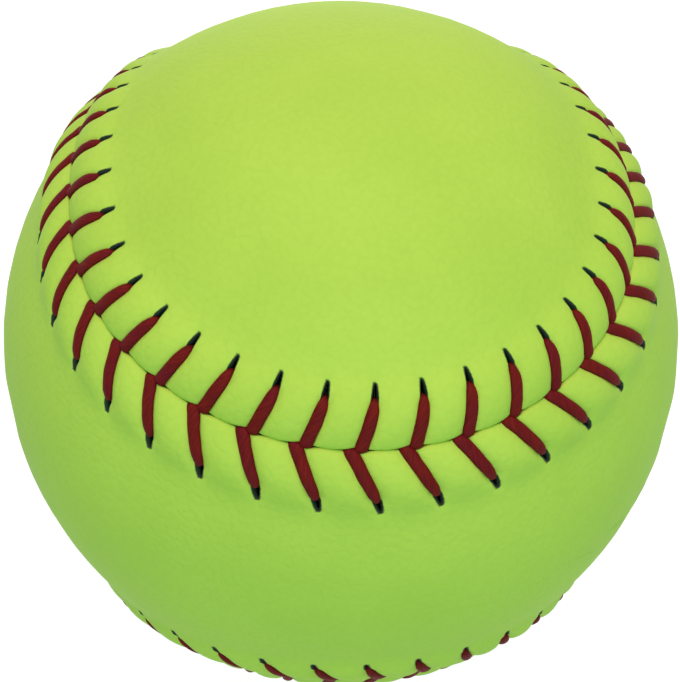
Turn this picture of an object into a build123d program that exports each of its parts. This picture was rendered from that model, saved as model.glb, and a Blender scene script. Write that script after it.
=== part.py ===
"""Twelve-inch softball: a moulded core, its coat of cement, two leather panels and one sewn thread.

The origin is the centre of the ball and +Z is up. One lobe of panel A is on top and the other
underneath, with the waist of panel A at the back (+Y). Panel B has its lobes left and right (-X and +X)
and its waist at the front (-Y).
"""

import os
from collections import namedtuple
from math import acos, cos, degrees, pi, radians, sin

from build123d import *

os.makedirs("parts", exist_ok=True)

# Ball and layers, in millimetres
circumference = 304.8
cover_thickness = 2.0
cement_thickness = 0.2

# Seam route, measured along the surface of the ball
waist_width = 44.8
lobe_width = 75.7

# Raised lips on both sides of the seam, with heights above the ball's round surface
lip_half_width = 10.0
lip_foot_height = -0.25
crest_offset = 3.5
crest_height = 1.0
groove_height = 0.25
seam_gap = 0.3

# Hollow under the lips, where the thread crosses from panel to panel
hollow_roof_height = -0.45
hollow_roof_half_width = 6.4
hollow_half_width = 9.4
hollow_foot_height = -2.4

# Stitching: each leg lies between the seam and a slit, slanted from square to the seam by some degrees
stitch_count = 88
stitch_phase = 0.43
dive_lead = {"a": -0.85, "b": 0.85}
leg_slant = {"a": 8.0, "b": 28.7}
slit_tip_distance = {"a": 7.2, "b": 8.3}
hole_distance = {"a": 4.85, "b": 6.0}
thread_diameter = 1.2
bed_clearance = 0.05

# Heights and bends of the thread's centre line
under_height = -1.23
hole_top_height = 0.8
dive_top_height = 0.6
thread_bend = 0.75
bridge_bend = 8.0

# Share of the last crossing that each end of the thread is tucked into
tail_share = 0.25

# Sizes that follow from these
ball_radius = circumference / (2 * pi)
cover_inner_radius = ball_radius - cover_thickness
core_radius = cover_inner_radius - cement_thickness
gap_depth = 4 * cover_thickness
bed_half_width = thread_diameter / 2 + bed_clearance
bed_depth = thread_diameter / 2 + 2.5 * bed_clearance
bed_top_height = 2 * crest_height

centre = Vector(0, 0, 0)
side_sign = {"a": 1, "b": -1}
other_side = {"a": "b", "b": "a"}

SeamArc = namedtuple("SeamArc", "start axis turn length")


def next_quarter(direction):
    """Turn a quarter about Y and mirror front to back, which lays the seam on itself."""
    return Vector(-direction.Z, -direction.Y, direction.X)


def seam_arc(start, end, pole):
    """One arc of the seam from start to end, turning about the pole."""
    flat_start = start - pole * start.dot(pole)
    flat_end = end - pole * end.dot(pole)
    turn = flat_start.get_signed_angle(flat_end, pole) % 360
    length = ball_radius * flat_start.length * radians(turn)
    return SeamArc(start, Axis(centre, pole), turn, length)


def seam_arcs():
    """Four round lobes joined by four great-circle runs, beginning with the front lobe of panel A."""
    waist_angle = waist_width / 2 / ball_radius
    lobe_angle = lobe_width / 2 / ball_radius
    lobe_pole = Vector(0, -cos(waist_angle + lobe_angle), sin(waist_angle + lobe_angle))
    mid_run = Vector(-1, 0, 1).normalized()
    beside = (lobe_pole - mid_run * lobe_pole.dot(mid_run)).normalized()
    tilt = degrees(acos(sin(lobe_angle) / beside.dot(lobe_pole)))
    run_pole = beside.rotate(Axis(centre, mid_run), tilt)
    lobe_end = (lobe_pole - run_pole * lobe_pole.dot(run_pole)).normalized()
    lobe_start = Vector(-lobe_end.X, lobe_end.Y, lobe_end.Z)
    arcs = []
    sense = -1
    for _ in range(4):
        next_start = next_quarter(lobe_start)
        arcs.append(seam_arc(lobe_start, lobe_end, lobe_pole * sense))
        arcs.append(seam_arc(lobe_end, next_start, run_pole * sense))
        lobe_start = next_start
        lobe_end = next_quarter(lobe_end)
        lobe_pole = next_quarter(lobe_pole)
        run_pole = next_quarter(run_pole)
        sense = -sense
    return arcs


seam = seam_arcs()
seam_length = sum(arc.length for arc in seam)
stitch_pitch = seam_length / stitch_count
front_middle = seam[0].length / 2


def seam_frame(travel):
    """Outward, forward and towards-panel-A directions at a length of travel along the seam."""
    rest = travel % seam_length
    for arc in seam:
        if rest <= arc.length:
            break
        rest -= arc.length
    outward = arc.start.rotate(arc.axis, arc.turn * rest / arc.length)
    forward = arc.axis.direction.cross(outward).normalized()
    return outward, forward, forward.cross(outward)


def in_section(distance, height):
    """Point of a plane through the ball's centre, by distance round the ball and height above it."""
    angle = distance / ball_radius
    return ((ball_radius + height) * sin(angle), (ball_radius + height) * cos(angle))


def section_plane(arc):
    """Plane across the start of an arc, with panel A to the right and outward up."""
    forward = arc.axis.direction.cross(arc.start).normalized()
    return Plane(origin=centre, x_dir=forward.cross(arc.start), z_dir=-forward)


def leg_plane(stitch, side):
    """Plane of one stitch leg, with outward at the seam up and the slit to the right."""
    travel = front_middle + (stitch + stitch_phase) * stitch_pitch + dive_lead[side]
    outward, forward, towards_a = seam_frame(travel)
    slant = radians(leg_slant[side])
    along = towards_a * side_sign[side] * cos(slant) - forward * sin(slant)
    return Plane(origin=centre, x_dir=along, z_dir=along.cross(outward))


def leg_corners(stitch, side):
    """Corners of one leg of the thread: up its hole, over the lip and down into the seam."""
    hole = hole_distance[side]
    corners = [(hole, under_height), (hole, hole_top_height), (0, dive_top_height), (0, under_height)]
    plane = leg_plane(stitch, side)
    return [plane.from_local_coords(Vector(*in_section(*corner))) for corner in corners]


def between(first, last, share=0.5):
    """Point at a share of the way from the first point to the last."""
    return first + (last - first) * share


def needle_routes(first_side, start):
    """Corners of every leg that one needle sews, each from the middle of a crossing to the next."""
    sides = [first_side, other_side[first_side]]
    legs = [leg_corners(stitch, sides[stitch % 2]) for stitch in range(stitch_count)]
    crossings = [between(leg[-1], after[0]) for leg, after in zip(legs, legs[1:])]
    tail = between(legs[-1][-1], legs[0][0], tail_share)
    begins = [between(start, legs[0][0]), *crossings]
    ends = [*crossings, tail]
    return [[begin, *leg, end] for begin, leg, end in zip(begins, legs, ends)]


def lip_section(arc):
    """Two rounded lips with the seam's groove between them."""
    groove = in_section(0, groove_height)
    foot_a = in_section(lip_half_width, lip_foot_height)
    foot_b = in_section(-lip_half_width, lip_foot_height)
    with BuildSketch(section_plane(arc)) as section:
        with BuildLine():
            ThreePointArc(groove, in_section(crest_offset, crest_height), foot_a)
            Line(foot_a, foot_b)
            ThreePointArc(foot_b, in_section(-crest_offset, crest_height), groove)
        make_face()
    return section.sketch


def hollow_section(arc):
    """Low vault under the lips."""
    foot_a = in_section(hollow_half_width, hollow_foot_height)
    foot_b = in_section(-hollow_half_width, hollow_foot_height)
    roof_a = in_section(hollow_roof_half_width, hollow_roof_height)
    roof_b = in_section(-hollow_roof_half_width, hollow_roof_height)
    with BuildSketch(section_plane(arc)) as section:
        with BuildLine():
            Line(foot_a, roof_a)
            ThreePointArc(roof_a, in_section(0, hollow_roof_height), roof_b)
            Polyline(roof_b, foot_b, foot_a)
        make_face()
    return section.sketch


def gap_section(arc):
    """Narrow gap between the edges of the two panels."""
    with BuildSketch(section_plane(arc)) as section:
        with Locations((0, ball_radius)):
            Rectangle(seam_gap, gap_depth)
    return section.sketch


def bed_outline(side):
    """Side view of a leg's bed: a slit at its outer end, a trough over the lip and a notch at the seam."""
    hole_wall = hole_distance[side] - bed_half_width
    corners = [
        (-bed_half_width, bed_top_height),
        (-bed_half_width, under_height),
        (bed_half_width, under_height),
        (bed_half_width, dive_top_height - bed_depth),
        (hole_wall, hole_top_height - bed_depth),
        (hole_wall, under_height),
        (slit_tip_distance[side], under_height),
        (slit_tip_distance[side], bed_top_height),
    ]
    return [in_section(*corner) for corner in corners]


# Moulded core
with BuildPart() as core:
    Sphere(core_radius)

# Coat of cement between the core and the leather
with BuildPart() as cement_coat:
    Sphere(cover_inner_radius)
    Sphere(core_radius, mode=Mode.SUBTRACT)

# Room inside the cover
with BuildPart() as cover_room:
    Sphere(cover_inner_radius)
    for arc in seam:
        revolve(hollow_section(arc), axis=arc.axis, revolution_arc=arc.turn)

# Gap that parts the two panels
with BuildPart() as panel_gap:
    for arc in seam:
        revolve(gap_section(arc), axis=arc.axis, revolution_arc=arc.turn)

# Cover of two panels, with the bed of every stitch leg cut into it
with BuildPart() as cover:
    Sphere(ball_radius)
    for arc in seam:
        revolve(lip_section(arc), axis=arc.axis, revolution_arc=arc.turn)
    add(cover_room.part, mode=Mode.SUBTRACT)
    add(panel_gap.part, mode=Mode.SUBTRACT)
    for side in "ab":
        with BuildSketch(*[leg_plane(stitch, side) for stitch in range(stitch_count)]):
            with BuildLine():
                Polyline(*bed_outline(side), close=True)
            make_face()
        extrude(amount=bed_half_width, both=True, mode=Mode.SUBTRACT)

# Panel A, with its waist at the back
with BuildPart() as cover_panel_a:
    add(cover.solids().sort_by(Axis.Y)[-1])

# Panel B, with its waist at the front
with BuildPart() as cover_panel_b:
    add(cover.solids().sort_by(Axis.Y)[0])

# Route of the thread: a bridge under the first pair of slits, and from each end of it a needle's stitches
first_holes = [leg_corners(0, side)[0] for side in "ab"]
bridge_middle = between(*first_holes).normalized() * (ball_radius + under_height)
routes_a = needle_routes("a", bridge_middle)
routes_b = [route[::-1] for route in reversed(needle_routes("b", bridge_middle))]
bridge = [routes_b[-1][-1], bridge_middle, routes_a[0][0]]
thread_edges = []
for route in [*routes_b, bridge, *routes_a]:
    bend = bridge_bend if route is bridge else thread_bend
    with BuildLine() as stretch:
        FilletPolyline(*route, radius=bend)
    thread_edges += stretch.edges()
thread_path = Wire(thread_edges)

# The thread, sewn with a needle at each end
with BuildPart() as seam_thread:
    with BuildSketch(Plane(origin=thread_path @ 0, z_dir=thread_path % 0)):
        Circle(thread_diameter / 2)
    sweep(path=thread_path)

core.part.label = "core"
cement_coat.part.label = "cement_coat"
cover_panel_a.part.label = "cover_panel_a"
cover_panel_b.part.label = "cover_panel_b"
seam_thread.part.label = "seam_thread"
for piece in (core, cement_coat, cover_panel_a, cover_panel_b, seam_thread):
    export_step(piece.part, f"parts/{piece.part.label}.step")

thread_section = pi * thread_diameter**2 / 4
print(f"seam {seam_length:.1f} mm, stitch step {stitch_pitch:.2f} mm, thread {thread_path.length:.0f} mm")
print(f"thread volume {seam_thread.part.volume:.1f}, section by length {thread_section * thread_path.length:.1f}")
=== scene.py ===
"""Looks of a twelve-inch softball: two leather panels, sewn together with one dark red thread over a core."""

from collections import namedtuple
from math import acos, atan2, cos, pi, radians, sin

import bmesh
import bpy
import numpy as np
from mathutils import Matrix, Quaternion, Vector


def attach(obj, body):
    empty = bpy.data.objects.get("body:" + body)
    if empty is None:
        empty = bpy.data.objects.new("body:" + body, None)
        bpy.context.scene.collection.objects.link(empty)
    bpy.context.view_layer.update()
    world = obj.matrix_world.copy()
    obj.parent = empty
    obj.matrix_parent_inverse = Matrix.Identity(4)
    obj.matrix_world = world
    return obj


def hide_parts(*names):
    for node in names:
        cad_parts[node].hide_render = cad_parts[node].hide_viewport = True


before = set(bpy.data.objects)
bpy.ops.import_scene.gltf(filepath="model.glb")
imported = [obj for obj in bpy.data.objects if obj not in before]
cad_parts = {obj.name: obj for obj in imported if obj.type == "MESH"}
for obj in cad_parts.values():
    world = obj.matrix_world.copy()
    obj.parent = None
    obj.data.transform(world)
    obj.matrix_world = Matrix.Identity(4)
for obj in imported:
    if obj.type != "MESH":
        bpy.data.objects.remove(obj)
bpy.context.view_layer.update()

# Lengths of the ball are in millimetres, and its meshes are written in metres
MM = 0.001

# Ball and seam route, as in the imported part
circumference = 304.8
waist_width = 44.8
lobe_width = 75.7
ball_radius = circumference / (2 * pi)

# Stitches: their number, and the share of a step from the front middle of the seam to the first one
stitch_count = 88
stitch_phase = 0.43

# Legs of the stitches on each side of the seam: the side's sign and the axis square to its mirror plane,
# where a leg goes down along the seam and beside it, how far the leg and its slit lean back per millimetre
# away from the seam, where one lean turns into the other, and the distances of the hole and the slit's ends
Side = namedtuple(
    "Side", "sign mirror_axis dive_lead dive_at leg_lean slit_lean turn_at hole slit_start slit_end"
)
sides = {
    "a": Side(
        sign=1, mirror_axis=0, dive_lead=-0.55, dive_at=-0.06, leg_lean=0.27, slit_lean=0.0,
        turn_at=4.9, hole=5.25, slit_start=4.6, slit_end=7.2,
    ),
    "b": Side(
        sign=-1, mirror_axis=2, dive_lead=0.55, dive_at=0.02, leg_lean=0.58, slit_lean=0.3,
        turn_at=5.7, hole=5.6, slit_start=5.2, slit_end=7.2,
    ),
}
other_side = {"a": "b", "b": "a"}

# Distance from the seam past which nothing leans any further, and how softly a lean turns
square_from = 8.2
turn_softness = 0.8

# Section of a lip: distance from the seam and height above the ball's round
lip_section = [
    (0.004, 0.06), (0.2, 0.2), (0.5, 0.34), (0.9, 0.5), (1.4, 0.67), (2.0, 0.83), (2.7, 0.95), (3.4, 1.01),
    (4.0, 1.01), (4.6, 0.96), (5.2, 0.87), (5.8, 0.74), (6.4, 0.58), (6.9, 0.43), (7.2, 0.34), (7.7, 0.22),
    (8.4, 0.11), (9.3, 0.04), (10.5, 0.0),
]
lip_away, lip_height = np.array(lip_section).T

# Leather that puffs up between the legs and is pressed down under them, with the distances from the seam, or
# past the hole, over which each form rises and falls
puff_height = 0.27
puff_rise = (-0.6, 0.7)
puff_fall = (4.5, 8.8)
press_depth = 0.6
press_half_width = 0.8
press_rise = (-0.6, 0.9)
press_fall_past_hole = (-0.4, 0.9)

# Slits: how they narrow to both ends, the dip that they lie in, and the share by which they close below
slit_half_width = 0.43
slit_start_share = 0.4
slit_taper = 1.5
slit_taper_least = 0.03
slit_dip = 0.18
slit_dip_half_width = 1.4 * slit_half_width
slit_dip_rise_past_hole = (-0.8, 0.0)
slit_dip_fall = (7.0, 8.2)
slit_closing = 0.85

# Opening of the seam where the thread goes down
seam_opening = 0.34
seam_opening_half_length = 1.4
seam_opening_reach = 2.2

# Underside of the leather, hollow below the lips where the thread crosses
hollow_roof_height = -0.45
hollow_roof_half_width = 6.2
hollow_half_width = 8.9
underside_height = -1.97

# Thread: half sizes on a leg and inside the ball, and the height at which it crosses below the lips
leg_half_width = 0.74
hidden_half_width = 0.42
thread_half_height = 0.42
under_height = -1.23

# Control points along a leg: distances short of its hole, from the seam, and short of where it goes down
short_of_hole = np.array([0.0, 0.0, 0.0, 0.05, 0.3, 0.8])
over_lip = np.array([3.5, 2.8, 2.1, 1.5, 0.95])
short_of_dive = np.array([0.45, 0.2, 0.05, 0.0, 0.0, 0.0])

# Heights at the ends of a leg, where it isn't on the leather, and how far it sinks at its two bends
hole_heights = [under_height, -0.75, -0.1, 0.45]
hole_sink = 0.12
dive_sinks = np.array([0.12, 0.4])
dive_heights = [-0.35, -0.8, under_height]

# Half widths at the ends of a leg, and the distances from the seam over which it turns to end along the seam
hole_half_widths = [hidden_half_width, hidden_half_width, 0.44, 0.48, 0.56, 0.66, 0.72]
dive_half_widths = [0.6, hidden_half_width, hidden_half_width]
mitre_reach = (0.1, 1.8)

# Control points of a crossing and of the bridge, by share of the way, and the share that a tail is tucked in
crossing_shares = [0.35, 0.65]
bridge_shares = [0.25, 0.5, 0.75]
tail_share = 0.25

# Plies of the thread, the length of a fibre's turn round it, and the fibres' change per millimetre along it
ply_count = 3
ply_relief = 0.025
ply_spacing = 2.6
fibre_turn = 7.0
fibre_change = 0.12

# Mesh of a panel: columns between a slit's rim and halfway to the next leg, rows between the foot of the lip
# and the panel's middle line, and the number of columns that merge in each of those rows
column_shares = [0.07, 0.15, 0.25, 0.37, 0.5, 0.66, 0.83]
inner_shares = [0.1, 0.21, 0.33, 0.46, 0.59, 0.72, 0.84, 0.93, 1.0]
inner_merges = [2, 4, 4, 4, 4, 4, 20, 20, 20]

# Mesh of the thread: sides round it and rings to each control point
thread_sides = 12
thread_steps = 2

# Corners this near to each other are one, and edges sharper than this many degrees are creases
weld_distance = 0.002
crease_angle = 60

# Margins beside a mirror plane, for an angle that is divided by, and at a slit's rim
mirror_margin = 0.5
least_angle = 1e-9
rim_margin = 1e-6

SeamArc = namedtuple("SeamArc", "start axis turn length")


def next_quarter(direction):
    """Turn a quarter about Y and mirror front to back, which lays the seam on itself."""
    return Vector((-direction.z, -direction.y, direction.x))


def seam_arc(start, end, pole):
    """One arc of the seam from start to end, turning about the pole."""
    flat_start = start - pole * start.dot(pole)
    flat_end = end - pole * end.dot(pole)
    turn = atan2(pole.dot(flat_start.cross(flat_end)), flat_start.dot(flat_end)) % (2 * pi)
    return SeamArc(start, pole, turn, ball_radius * flat_start.length * turn)


def seam_arcs():
    """Four round lobes joined by four great-circle runs, beginning with the front lobe of panel A."""
    waist_angle = waist_width / 2 / ball_radius
    lobe_angle = lobe_width / 2 / ball_radius
    lobe_pole = Vector((0, -cos(waist_angle + lobe_angle), sin(waist_angle + lobe_angle)))
    mid_run = Vector((-1, 0, 1)).normalized()
    beside = (lobe_pole - mid_run * lobe_pole.dot(mid_run)).normalized()
    tilt = acos(sin(lobe_angle) / beside.dot(lobe_pole))
    run_pole = Quaternion(mid_run, tilt) @ beside
    lobe_end = (lobe_pole - run_pole * lobe_pole.dot(run_pole)).normalized()
    lobe_start = Vector((-lobe_end.x, lobe_end.y, lobe_end.z))
    arcs = []
    sense = -1
    for _ in range(4):
        next_start = next_quarter(lobe_start)
        arcs.append(seam_arc(lobe_start, lobe_end, lobe_pole * sense))
        arcs.append(seam_arc(lobe_end, next_start, run_pole * sense))
        lobe_start = next_start
        lobe_end = next_quarter(lobe_end)
        lobe_pole = next_quarter(lobe_pole)
        run_pole = next_quarter(run_pole)
        sense = -sense
    return arcs


seam = seam_arcs()
arc_starts, arc_axes, arc_turns, arc_lengths = (np.array(values) for values in zip(*seam))
arc_ends = np.cumsum(arc_lengths)
seam_length = arc_ends[-1]
stitch_pitch = seam_length / stitch_count
front_middle = arc_lengths[0] / 2


def seam_frame(travel):
    """Outward, forward and towards-panel-A directions at lengths of travel along the seam."""
    rest = np.mod(travel, seam_length)
    arc = np.minimum(np.searchsorted(arc_ends, rest), len(seam) - 1)
    angle = (arc_turns[arc] * (1 - (arc_ends[arc] - rest) / arc_lengths[arc]))[..., None]
    start, axis = arc_starts[arc], arc_axes[arc]
    along_axis = axis * np.sum(axis * start, axis=-1, keepdims=True)
    outward = along_axis + (start - along_axis) * np.cos(angle) + np.cross(axis, start) * np.sin(angle)
    forward = np.cross(axis, outward)
    forward /= np.linalg.norm(forward, axis=-1, keepdims=True)
    return outward, forward, np.cross(forward, outward)


def soft_hinge(value):
    """Zero below zero and the value above it, with a rounded turn."""
    return (value + np.sqrt(value**2 + turn_softness**2)) / 2


def smooth_step(value, start, end):
    """From 0 at the start to 1 at the end, with a rounded turn at both."""
    share = np.clip((value - start) / (end - start), 0, 1)
    return share * share * (3 - 2 * share)


def bell(value):
    """One at zero, dying away softly on both sides of it."""
    return np.exp(-(value**2))


def lean_back(away, side):
    """How far a leg and its slit have gone back along the seam, at a distance from it."""
    eased = (side.leg_lean - side.slit_lean) * soft_hinge(away - side.turn_at)
    squared = side.slit_lean * soft_hinge(away - square_from)
    return eased + squared - side.leg_lean * away


def on_ball(travel, away, height, side):
    """Points by the travel at which their leg leaves the seam, their distance from it and their height."""
    outward, forward, towards_a = seam_frame(travel)
    back = lean_back(away, side)
    distance = np.hypot(back, away)[..., None]
    way = forward * back[..., None] + towards_a * (side.sign * away)[..., None]
    angle = distance / ball_radius
    direction = outward * np.cos(angle) + way * np.sinc(angle / pi) / ball_radius
    return direction * (ball_radius + height)[..., None]


def first_leg(side):
    """Travel at which the first leg of a side leaves the seam."""
    return front_middle + stitch_phase * stitch_pitch + side.dive_lead


def first_lobe_middle(side):
    """Travel of the seam at the middle of a panel's first lobe."""
    return front_middle if side.sign > 0 else front_middle + seam_length / 4


def slit_rim(side):
    """Half the width of a slit, measured along the seam."""
    return slit_half_width / np.cos(np.arctan(side.slit_lean))


def pressed_lip(away, off_leg, side):
    """Height of the leather at a distance from the seam and from the middle of the nearest leg."""
    leg_slope = np.cos(np.arctan(side.leg_lean))
    across = off_leg * leg_slope
    half_pitch = stitch_pitch / 2 * leg_slope
    past_hole = away - side.hole
    between = np.sin(pi / 2 * across / half_pitch) ** 2
    puff = puff_height * between * smooth_step(away, *puff_rise) * (1 - smooth_step(away, *puff_fall))
    under_leg = smooth_step(away, *press_rise) * (1 - smooth_step(past_hole, *press_fall_past_hole))
    press = press_depth * bell(across / press_half_width) * under_leg
    by_slit = smooth_step(past_hole, *slit_dip_rise_past_hole) * (1 - smooth_step(away, *slit_dip_fall))
    dip = slit_dip * bell(across / slit_dip_half_width) * by_slit
    return np.interp(away, lip_away, lip_height) + puff - press - dip


def medial_direction(travel, side):
    """Where the middle line of a panel is met from a travel on either half of its seam."""
    middle = first_lobe_middle(side)
    from_middle = np.mod(travel - middle + seam_length / 2, seam_length) - seam_length / 2
    steps = np.rint(np.abs(from_middle) / stitch_pitch) * stitch_pitch
    mirrored = middle + np.clip(steps, mirror_margin, seam_length / 2 - mirror_margin)
    outward, _, towards_a = seam_frame(mirrored)
    inward = towards_a * side.sign
    axis = side.mirror_axis
    angle = np.mod(np.arctan2(-outward[..., axis], inward[..., axis]), pi)[..., None]
    return outward * np.cos(angle) + inward * np.sin(angle)


def part_way(first, last, share):
    """Directions at a share of the way round from the first to the last."""
    angle = np.arccos(np.clip(np.sum(first * last, axis=-1, keepdims=True), -1, 1))
    angle = np.maximum(angle, least_angle)
    return (first * np.sin((1 - share) * angle) + last * np.sin(share * angle)) / np.sin(angle)


def column_offsets(side):
    """Offsets along the seam of the mesh columns round one leg."""
    rim = slit_rim(side)
    half = stitch_pitch / 2
    outer = [rim + (half - rim) * share for share in column_shares]
    right = [rim / 2, rim, *outer]
    return np.array([*[-offset for offset in reversed(right)], 0.0, *right, half])


def flat_sheet(columns, rows):
    """A flat grid, one unit wide and high, with the column and row of each of its corners."""
    bm = bmesh.new()
    bmesh.ops.create_grid(bm, x_segments=columns, y_segments=rows, size=0.5)
    bmesh.ops.translate(bm, verts=bm.verts[:], vec=(0.5, 0.5, 0))
    corners = np.array([vert.co for vert in bm.verts])
    column = np.rint(corners[:, 0] * columns).astype(int)
    row = np.rint(corners[:, 1] * rows).astype(int)
    return bm, column, row


def round_normals(mesh):
    """Normals of the round parts of a panel's two faces, with the rest left to be worked out."""
    away = np.zeros(len(mesh.vertices), np.float32)
    mesh.attributes["seam_distance"].data.foreach_get("value", away)
    normals = np.zeros(3 * len(away), np.float32)
    mesh.vertices.foreach_get("co", normals)
    normals = normals.reshape(-1, 3)
    radius = np.linalg.norm(normals, axis=1, keepdims=True)
    outer = np.where(radius > (ball_radius + underside_height / 2) * MM, 1, -1)
    return np.where(away[:, None] >= lip_away[-1], normals / radius * outer, 0)


def finish_piece(bm, name, finish, node):
    """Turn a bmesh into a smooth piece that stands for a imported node."""
    bmesh.ops.recalc_face_normals(bm, faces=bm.faces[:])
    mesh = bpy.data.meshes.new(name)
    bm.to_mesh(mesh)
    bm.free()
    mesh.shade_smooth()
    mesh.set_sharp_from_angle(angle=radians(crease_angle))
    if "seam_distance" in mesh.attributes:
        mesh.normals_split_custom_set_from_vertices(round_normals(mesh))
    mesh.materials.append(finish)
    piece = bpy.data.objects.new(name, mesh)
    bpy.context.scene.collection.objects.link(piece)
    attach(piece, "root")
    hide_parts(node)


def make_panel(letter, finish):
    """One leather panel, with its lips, its slits and its hollow underside."""
    side = sides[letter]
    offsets = column_offsets(side)
    per_leg = len(offsets)
    columns = per_leg * stitch_count
    lip_rows = len(lip_away)
    rows = lip_rows + len(inner_shares) - 1
    bm, column, row = flat_sheet(columns, rows)

    # Faces that the slits take out, in two columns on each side of a leg's middle
    leg_column = per_leg // 2 - 1
    slit_columns = range(leg_column - 2, leg_column + 2)
    slit_rows = range(*np.searchsorted(lip_away, (side.slit_start, side.slit_end)))
    slit_faces = []
    for face in bm.faces:
        centre = face.calc_center_median()
        if int(centre.x * columns) % per_leg in slit_columns and int(centre.y * rows) in slit_rows:
            slit_faces.append(face)

    # Columns merge in steps on the way inward
    merges = np.array([1] * lip_rows + inner_merges)[row]
    column = column // merges * merges
    off_leg = offsets[column % per_leg]
    leg_travel = first_leg(side) + column // per_leg * stitch_pitch

    # Lips: a slit narrows to its ends, and the edge stands off where the thread goes down
    away = lip_away[np.minimum(row, lip_rows - 1)]
    from_slit_start = np.clip((away - side.slit_start) / slit_half_width, slit_start_share, 1)
    to_slit_end = np.sqrt(np.clip((side.slit_end - away) / slit_taper, slit_taper_least, 1))
    in_slit = np.abs(off_leg) <= slit_rim(side) + rim_margin
    placed_off_leg = np.where(in_slit, off_leg * from_slit_start * to_slit_end, off_leg)
    opening = seam_opening * bell((placed_off_leg + side.dive_lead) / seam_opening_half_length)
    placed_away = away + opening * (1 - smooth_step(away, 0, seam_opening_reach))
    height = pressed_lip(placed_away, placed_off_leg, side)
    points = on_ball(leg_travel + placed_off_leg, placed_away, height, side)

    # Inner part: round, from the foot of the lip to the middle line
    inner = row >= lip_rows
    foot = points[inner] / np.linalg.norm(points[inner], axis=-1, keepdims=True)
    share = np.array(inner_shares)[row[inner] - lip_rows][:, None]
    foot_travel = leg_travel[inner] + off_leg[inner] + lean_back(lip_away[-1], side)
    points[inner] = part_way(foot, medial_direction(foot_travel, side), share) * ball_radius

    # What the finish and the underside read at each corner
    seam_distance = bm.verts.layers.float.new("seam_distance")
    slit_shade = bm.verts.layers.float.new("slit_shade")
    slit_middle = bm.verts.layers.float_vector.new("slit_middle")
    along_slit = (away >= side.slit_start) & (away <= side.slit_end) & ~inner
    shade = np.where(in_slit & along_slit, 1.0, 0.0)
    distance = np.where(inner, lip_away[-1], placed_away)
    middles = on_ball(leg_travel, placed_away, height, side)
    for vert, point, its_distance, its_shade, middle in zip(bm.verts, points, distance, shade, middles):
        vert.co = point * MM
        vert[seam_distance] = its_distance
        vert[slit_shade] = its_shade
        vert[slit_middle] = middle * MM
    bmesh.ops.delete(bm, geom=slit_faces, context="FACES")
    bmesh.ops.remove_doubles(bm, verts=bm.verts[:], dist=weld_distance * MM)

    # Underside
    copied = bmesh.ops.extrude_face_region(bm, geom=bm.faces[:])["geom"]
    for vert in copied:
        if isinstance(vert, bmesh.types.BMVert):
            slope = smooth_step(vert[seam_distance], hollow_roof_half_width, hollow_half_width)
            under = hollow_roof_height + (underside_height - hollow_roof_height) * slope
            below = vert.co.lerp(vert[slit_middle], slit_closing * vert[slit_shade])
            vert.co = below.normalized() * (ball_radius + under) * MM
    finish_piece(bm, f"leather_panel_{letter}", finish, f"cover_panel_{letter}")


def leg_controls(stitch, letter):
    """Control rows of one leg of the thread, from under its hole to under the seam."""
    side = sides[letter]
    away = np.concatenate([side.hole - short_of_hole, over_lip, side.dive_at + short_of_dive])
    height = pressed_lip(away, np.zeros_like(away), side) + thread_half_height
    brink = len(away) - len(short_of_dive)
    height[:len(hole_heights)] = hole_heights
    height[len(hole_heights)] -= hole_sink
    height[brink + 1:] = [*(height[brink] - dive_sinks), *dive_heights]
    half_width = np.full(len(away), leg_half_width)
    half_width[:len(hole_half_widths)] = hole_half_widths
    half_width[-len(dive_half_widths):] = dive_half_widths
    travel = np.full(len(away), first_leg(side) + stitch * stitch_pitch)
    points = on_ball(travel, away, height, side)

    # Its end lies along the seam there, and is as much wider as that cut is longer
    _, forward, towards_a = seam_frame(travel)
    mitre = 1 - smooth_step(away, *mitre_reach)
    half_width *= 1 + mitre * (np.hypot(1, side.leg_lean) - 1)
    across = -forward - towards_a * (side.sign * side.leg_lean * (1 - mitre))[:, None]
    across /= np.linalg.norm(across, axis=-1, keepdims=True)
    return np.column_stack([points, across, half_width])


def crossing_controls(before, after, shares):
    """Control rows of a crossing under the lips, from the last row of one leg to the first of the next."""
    rows = np.array([before * (1 - share) + after * share for share in shares])
    radius = np.linalg.norm(rows[:, :3], axis=1, keepdims=True)
    rows[:, :3] *= (ball_radius + under_height) / radius
    return rows


def needle_controls(first_letter):
    """Control rows of all that one needle sews, from its first hole to its tucked tail."""
    letters = [first_letter, other_side[first_letter]]
    legs = [leg_controls(stitch, letters[stitch % 2]) for stitch in range(stitch_count)]
    rows = []
    for leg, after in zip(legs, legs[1:]):
        rows += [leg, crossing_controls(leg[-1], after[0], crossing_shares)]
    rows += [legs[-1], crossing_controls(legs[-1][-1], legs[0][0], [tail_share / 2, tail_share])]
    return np.concatenate(rows)


def smooth_line(controls, steps):
    """Rows of the uniform cubic B-spline of the control rows, with some steps to each."""
    share = np.arange(steps)[:, None] / steps
    weights = np.hstack([
        (1 - share) ** 3,
        3 * share**3 - 6 * share**2 + 4,
        -3 * share**3 + 3 * share**2 + 3 * share + 1,
        share**3,
    ]) / 6
    spans = np.stack([controls[first:len(controls) - 3 + first] for first in range(4)], axis=1)
    return np.einsum("tk,skc->stc", weights, spans).reshape(-1, controls.shape[1])


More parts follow.
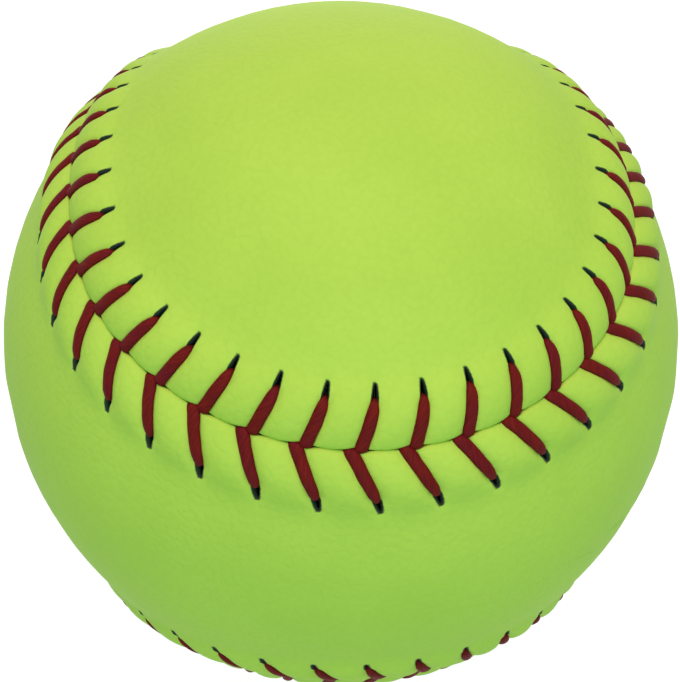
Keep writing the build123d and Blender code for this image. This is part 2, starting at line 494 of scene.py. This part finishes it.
def make_thread(finish):
    """The whole thread: a bridge under the first pair of slits, with a needle's stitches from each end."""
    sewn_a = needle_controls("a")
    sewn_b = needle_controls("b")
    bridge = crossing_controls(sewn_b[0], sewn_a[0], bridge_shares)
    rows = smooth_line(np.concatenate([sewn_b[::-1], bridge, sewn_a]), thread_steps)
    centre, across, half_width = rows[:, :3], rows[:, 3:6], rows[:, 6]
    tangent = np.gradient(centre, axis=0)
    across = across / np.linalg.norm(across, axis=1, keepdims=True)
    upright = np.cross(tangent, across)
    upright /= np.linalg.norm(upright, axis=1, keepdims=True)
    travelled = np.concatenate([[0], np.cumsum(np.linalg.norm(np.diff(centre, axis=0), axis=1))])

    # Rings round the centre line, drawn together to a point at both ends
    bm, ring, corner = flat_sheet(len(rows) - 1, thread_sides)
    turn = 2 * pi * (corner % thread_sides) / thread_sides
    along = 2 * pi * travelled[ring]
    fullness = 1 + ply_relief * np.cos(ply_count * turn - along / ply_spacing)
    fullness[(ring == 0) | (ring == len(rows) - 1)] = 0
    wide = (half_width[ring] * fullness * np.cos(turn))[:, None]
    high = (thread_half_height * fullness * np.sin(turn))[:, None]
    points = centre[ring] + across[ring] * wide + upright[ring] * high
    twist = turn - along / fibre_turn
    lay = np.column_stack([np.cos(twist), np.sin(twist), travelled[ring] * fibre_change])
    lay_layer = bm.verts.layers.float_vector.new("lay")
    for vert, point, its_lay in zip(bm.verts, points, lay):
        vert.co = point * MM
        vert[lay_layer] = its_lay
    bmesh.ops.remove_doubles(bm, verts=bm.verts[:], dist=weld_distance * MM)
    finish_piece(bm, "stitching", finish, "seam_thread")


class Socket:
    """A node's output, with Python's operators for the Math nodes between outputs."""

    def __init__(self, tree, source=None):
        self.tree = tree
        self.source = source

    def node(self, kind, sockets=None, output=0, **settings):
        """A new node with its settings and then its sockets filled in, as one of its outputs."""
        made = self.tree.nodes.new("ShaderNode" + kind)
        for name, value in settings.items():
            setattr(made, name, value)
        for name, value in (sockets or {}).items():
            if isinstance(value, Socket):
                self.tree.links.new(value.source, made.inputs[name])
            else:
                made.inputs[name].default_value = value
        return Socket(self.tree, made.outputs[output] if made.outputs else None)

    def math(self, operation, *values):
        """A Math node on values or outputs."""
        return self.node("Math", dict(enumerate(values)), operation=operation)

    def __add__(self, other):
        return self.math("ADD", self, other)

    def __sub__(self, other):
        return self.math("SUBTRACT", self, other)

    def __rsub__(self, other):
        return self.math("SUBTRACT", other, self)

    def __mul__(self, other):
        return self.math("MULTIPLY", self, other)

    __radd__ = __add__
    __rmul__ = __mul__


def new_finish(name):
    """An empty material and the start of its nodes."""
    material = bpy.data.materials.new(name)
    material.use_nodes = True
    material.node_tree.nodes.clear()
    return material, Socket(material.node_tree)


def blend_colours(nodes, factor, first, last):
    """A colour between two, by a factor."""
    return nodes.node("Mix", {0: factor, 6: first, 7: last}, output=2, data_type="RGBA")


def ramp(nodes, value, start, end):
    """A value eased from 0 to 1 between a start and an end."""
    sockets = {"Value": value, "From Min": start, "From Max": end}
    return nodes.node("MapRange", sockets, interpolation_type="SMOOTHSTEP")


# Colours of the finishes
leather_dyes = [(0.375, 0.632, 0.077, 1), (0.402, 0.662, 0.085, 1)]
leather_crease = (0.29, 0.53, 0.06, 1)
# Painted shade along the panels' edges in the seam groove
seam_edge_shade_colour = (0.22, 0.30, 0.03, 1)
# Painted shade inside the slits
slit_shade_colour = (0.016, 0.032, 0.02, 1)
thread_dyes = [(0.08, 0.003, 0.004, 1), (0.165, 0.009, 0.005, 1)]
thread_patch = (0.105, 0.003, 0.016, 1)
core_tones = [(0.72, 0.63, 0.42, 1), (0.82, 0.75, 0.56, 1)]
cement_tones = [(0.62, 0.52, 0.30, 1), (0.84, 0.76, 0.52, 1)]


def leather_finish():
    """Optic yellow leather with a fine grain, with painted shade inside the slits and along the panels' edges
    in the seam.
    """
    material, nodes = new_finish("optic_leather")
    place = nodes.node("TexCoord", output="Object")
    mottle = nodes.node("TexNoise", {"Vector": place, "Scale": 55.0, "Detail": 4.0})
    fine = nodes.node("TexNoise", {"Vector": place, "Scale": 1500.0, "Detail": 3.0, "Roughness": 0.6})
    cells = {"Vector": place, "Scale": 1300.0, "Smoothness": 0.3}
    pebble = nodes.node("TexVoronoi", cells, feature="SMOOTH_F1")
    slit = nodes.node("Attribute", output="Fac", attribute_name="slit_shade")
    distance = nodes.node("Attribute", output="Fac", attribute_name="seam_distance")
    # Painted shade: darker towards each panel's edge in the seam groove
    edge = 1 - ramp(nodes, distance, 0.02, 0.3)
    creases = ramp(nodes, pebble, 0.4, 0.75)
    dye = blend_colours(nodes, ramp(nodes, mottle, 0.35, 0.65), *leather_dyes)
    grained = blend_colours(nodes, creases * 0.1 + fine * 0.06, dye, leather_crease)
    seam_edge_shaded = blend_colours(nodes, edge * 0.08, grained, seam_edge_shade_colour)
    # Painted shade: near black where the slits open into the ball
    colour = blend_colours(nodes, ramp(nodes, slit, 0.3, 0.85), seam_edge_shaded, slit_shade_colour)
    bump = nodes.node("Bump", {"Strength": 0.25, "Distance": 0.0001, "Height": fine * 0.4 - creases})
    shader = nodes.node("BsdfPrincipled", {
        "Base Color": colour,
        "Roughness": 0.52 + mottle * 0.16,
        "Specular IOR Level": 0.12,
        "Normal": bump,
    })
    nodes.node("OutputMaterial", {"Surface": shader})
    return material


def thread_finish():
    """Dark red waxed thread, with fibres that follow its twist."""
    material, nodes = new_finish("twisted_thread")
    lay = nodes.node("Attribute", output="Vector", attribute_name="lay")
    fibres = nodes.node("TexNoise", {"Vector": lay, "Scale": 5.0, "Detail": 4.0, "Roughness": 0.65})
    place = nodes.node("TexCoord", output="Object")
    patches = nodes.node("TexNoise", {"Vector": place, "Scale": 240.0, "Detail": 2.0})
    dye = blend_colours(nodes, ramp(nodes, fibres, 0.35, 0.68), *thread_dyes)
    colour = blend_colours(nodes, ramp(nodes, patches, 0.4, 0.75) * 0.45, dye, thread_patch)
    bump = nodes.node("Bump", {"Strength": 0.35, "Distance": 0.00008, "Height": fibres})
    shader = nodes.node("BsdfPrincipled", {
        "Base Color": colour,
        "Roughness": 0.5 + fibres * 0.25,
        "Specular IOR Level": 0.1,
        "Normal": bump,
    })
    nodes.node("OutputMaterial", {"Surface": shader})
    return material


def core_finish():
    """Moulded polyurethane foam with a closed skin."""
    material, nodes = new_finish("moulded_core")
    place = nodes.node("TexCoord", output="Object")
    cells = nodes.node("TexVoronoi", {"Vector": place, "Scale": 700.0})
    cloud = nodes.node("TexNoise", {"Vector": place, "Scale": 40.0, "Detail": 3.0})
    shader = nodes.node("BsdfPrincipled", {
        "Base Color": blend_colours(nodes, cloud, *core_tones),
        "Roughness": 0.55 + cloud * 0.2,
        "Normal": nodes.node("Bump", {"Strength": 0.3, "Distance": 0.0002, "Height": cells}),
    })
    nodes.node("OutputMaterial", {"Surface": shader})
    return material


def cement_finish():
    """Thin brushed coat of dried cement."""
    material, nodes = new_finish("dried_cement")
    place = nodes.node("TexCoord", output="Object")
    strokes = nodes.node("Mapping", {"Vector": place, "Scale": (60.0, 400.0, 400.0)})
    brushed = nodes.node("TexNoise", {"Vector": strokes, "Scale": 1.0, "Detail": 4.0})
    shader = nodes.node("BsdfPrincipled", {
        "Base Color": blend_colours(nodes, brushed, *cement_tones),
        "Roughness": 0.35 + brushed * 0.3,
        "Normal": nodes.node("Bump", {"Strength": 0.4, "Distance": 0.0001, "Height": brushed}),
    })
    nodes.node("OutputMaterial", {"Surface": shader})
    return material


# Pieces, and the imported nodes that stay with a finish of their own
leather = leather_finish()
for letter in sides:
    make_panel(letter, leather)
make_thread(thread_finish())
for node, finish in (("core", core_finish()), ("cement_coat", cement_finish())):
    node_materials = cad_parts[node].data.materials
    node_materials.clear()
    node_materials.append(finish)

# Camera, measured from the seam in the photograph: angles in degrees, focal length and the ball's place in
# pixels. Blender fits the sensor to the longer side of the picture, which is its height
image_height = 682
focal_pixels = 1036.0
ball_right_of_centre = 0.8
ball_above_centre = 2.6
camera_azimuth = -5.89
camera_elevation = 40.72
camera_roll = 1.94
camera_distance = 3.229 * ball_radius
sensor_size = 36.0
nearest_seen = 10.0

# Studio, with lengths in metres and power in watts: floor, light from all round, and the name, place, size,
# power and colour of each lamp
white = (1, 1, 1, 1)
floor_radius = 2.0
floor_sides = 96
floor_bounce = (0.45, 0.45, 0.45, 1)
floor_pale = (0.95, 0.95, 0.95, 1)
floor_glow = 1.2
floor_glow_share = 0.78
around_colour = (0.6, 1.0, 0.8, 1)
around_strength = 0.55
lamps = [
    ("overhead", (-0.02, -0.12, 0.72), 0.45, 4.3, (1.0, 0.5, 0.57)),
    ("front", (0.0, -0.75, 0.08), 0.6, 2.7, (0.75, 0.95, 1.0)),
    ("behind", (0.0, 0.75, 0.3), 0.6, 1.1, (1.0, 0.95, 0.9)),
]


def seen_by_camera(nodes):
    """One for the rays that show the backdrop itself, by sight, in a gloss or through glass."""
    by_sight, in_gloss, through_glass = (
        nodes.node("LightPath", output=f"Is {ray} Ray") for ray in ("Camera", "Glossy", "Transmission")
    )
    return nodes.math("MAXIMUM", by_sight, nodes.math("MAXIMUM", in_gloss, through_glass))


def make_camera():
    """The camera, at the photograph's viewing angle and with its framing."""
    azimuth, elevation, roll = (radians(angle) for angle in (camera_azimuth, camera_elevation, camera_roll))
    back = Vector((sin(azimuth) * cos(elevation), -cos(azimuth) * cos(elevation), sin(elevation)))
    level = Vector((cos(azimuth), sin(azimuth), 0))
    right = Quaternion(back, roll) @ level
    up = back.cross(right)
    aim = (right * -ball_right_of_centre + up * -ball_above_centre) / focal_pixels * camera_distance
    camera = bpy.data.cameras.new("camera")
    camera.sensor_width = sensor_size
    camera.lens = focal_pixels / image_height * sensor_size
    camera.clip_start = nearest_seen * MM
    viewer = bpy.data.objects.new("camera", camera)
    turn = Matrix((right, up, back)).transposed()
    viewer.matrix_world = Matrix.Translation((back * camera_distance + aim) * MM) @ turn.to_4x4()
    bpy.context.scene.collection.objects.link(viewer)
    bpy.context.scene.camera = viewer


def make_lamp(name, place, size, power, colour):
    """A square soft lamp that shines at the ball."""
    lamp = bpy.data.lights.new(name, "AREA")
    lamp.size = size
    lamp.energy = power
    lamp.color = colour
    holder = bpy.data.objects.new(name, lamp)
    holder.location = place
    holder.rotation_euler = Vector(place).to_track_quat("Z", "Y").to_euler()
    holder.visible_camera = False
    bpy.context.scene.collection.objects.link(holder)


def make_floor():
    """A pale floor that stays white to the eye and keeps the ball's shadow."""
    material, nodes = new_finish("pale_floor")
    bounce = nodes.node("BsdfDiffuse", {"Color": floor_bounce})
    pale = nodes.node("BsdfDiffuse", {"Color": floor_pale})
    glow = nodes.node("Emission", {"Color": white, "Strength": floor_glow})
    shown = nodes.node("MixShader", {0: floor_glow_share, 1: pale, 2: glow})
    surface = nodes.node("MixShader", {0: seen_by_camera(nodes), 1: bounce, 2: shown})
    nodes.node("OutputMaterial", {"Surface": surface})
    bm = bmesh.new()
    bmesh.ops.create_circle(bm, cap_ends=True, segments=floor_sides, radius=floor_radius)
    bmesh.ops.translate(bm, verts=bm.verts[:], vec=(0, 0, -ball_radius * MM))
    mesh = bpy.data.meshes.new("floor")
    bm.to_mesh(mesh)
    bm.free()
    mesh.materials.append(material)
    floor = bpy.data.objects.new("floor", mesh)
    bpy.context.scene.collection.objects.link(floor)


def make_world():
    """Soft light from all round, on a white background."""
    world = bpy.data.worlds.new("studio")
    world.use_nodes = True
    world.node_tree.nodes.clear()
    nodes = Socket(world.node_tree)
    around = nodes.node("Background", {"Color": around_colour, "Strength": around_strength})
    backdrop = nodes.node("Background", {"Color": white, "Strength": 1.0})
    surface = nodes.node("MixShader", {0: seen_by_camera(nodes), 1: around, 2: backdrop})
    nodes.node("OutputWorld", {"Surface": surface})
    bpy.context.scene.world = world


make_camera()
make_floor()
make_world()
for lamp in lamps:
    make_lamp(*lamp)
bpy.context.scene.view_settings.view_transform = "Standard"
